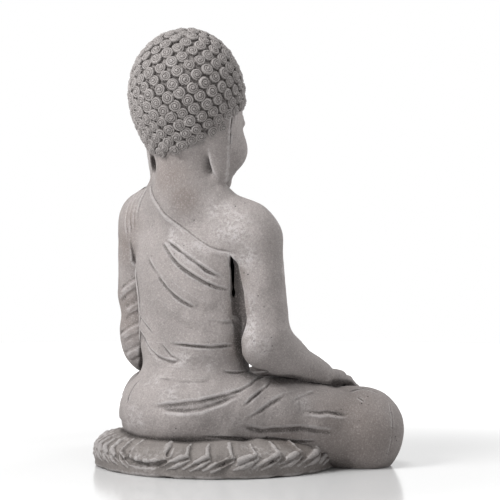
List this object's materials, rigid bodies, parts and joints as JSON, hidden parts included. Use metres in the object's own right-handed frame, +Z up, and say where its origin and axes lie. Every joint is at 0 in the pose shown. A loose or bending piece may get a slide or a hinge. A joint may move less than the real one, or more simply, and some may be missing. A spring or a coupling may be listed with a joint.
{
  "type": "seated buddha statue",
  "caption": "Cast stone seated Buddha in the earth-touching pose, cross-legged on a low cushion with a rolled rim, snail-curl hair, robe over the left shoulder",
  "frame": {"origin": "centre of the bounding box on the ground the statue stands on", "axes": "+Z up; the statue faces -Y; its left hand is towards +X"},
  "size_m": [0.3225, 0.2371, 0.426],
  "materials": {
    "cushion_stone": "rough cast stone, darkened in the folds",
    "robe_stone": "matte weathered cast stone with pale bloom and pinholes",
    "skin_stone": "smooth-rubbed cast stone with pale bloom and pinholes",
    "hair_stone": "pale matte cast stone",
    "dowel_steel": "plain drawn steel"
  },
  "bodies": {
    "root": {"lotus_cushion": "cushion_stone", "crossed_legs": "robe_stone", "torso": "robe_stone", "head": "skin_stone", "hair_cap": "hair_stone", "right_arm": "skin_stone", "left_arm": "robe_stone", "neck_dowel": "dowel_steel", "waist_dowel_left": "dowel_steel", "waist_dowel_right": "dowel_steel", "right_shoulder_dowel": "dowel_steel", "left_shoulder_dowel": "dowel_steel", "right_hand_dowel": "dowel_steel", "left_hand_dowel": "dowel_steel", "base_dowel_left": "dowel_steel", "base_dowel_right": "dowel_steel"}
  },
  "joints": []
}
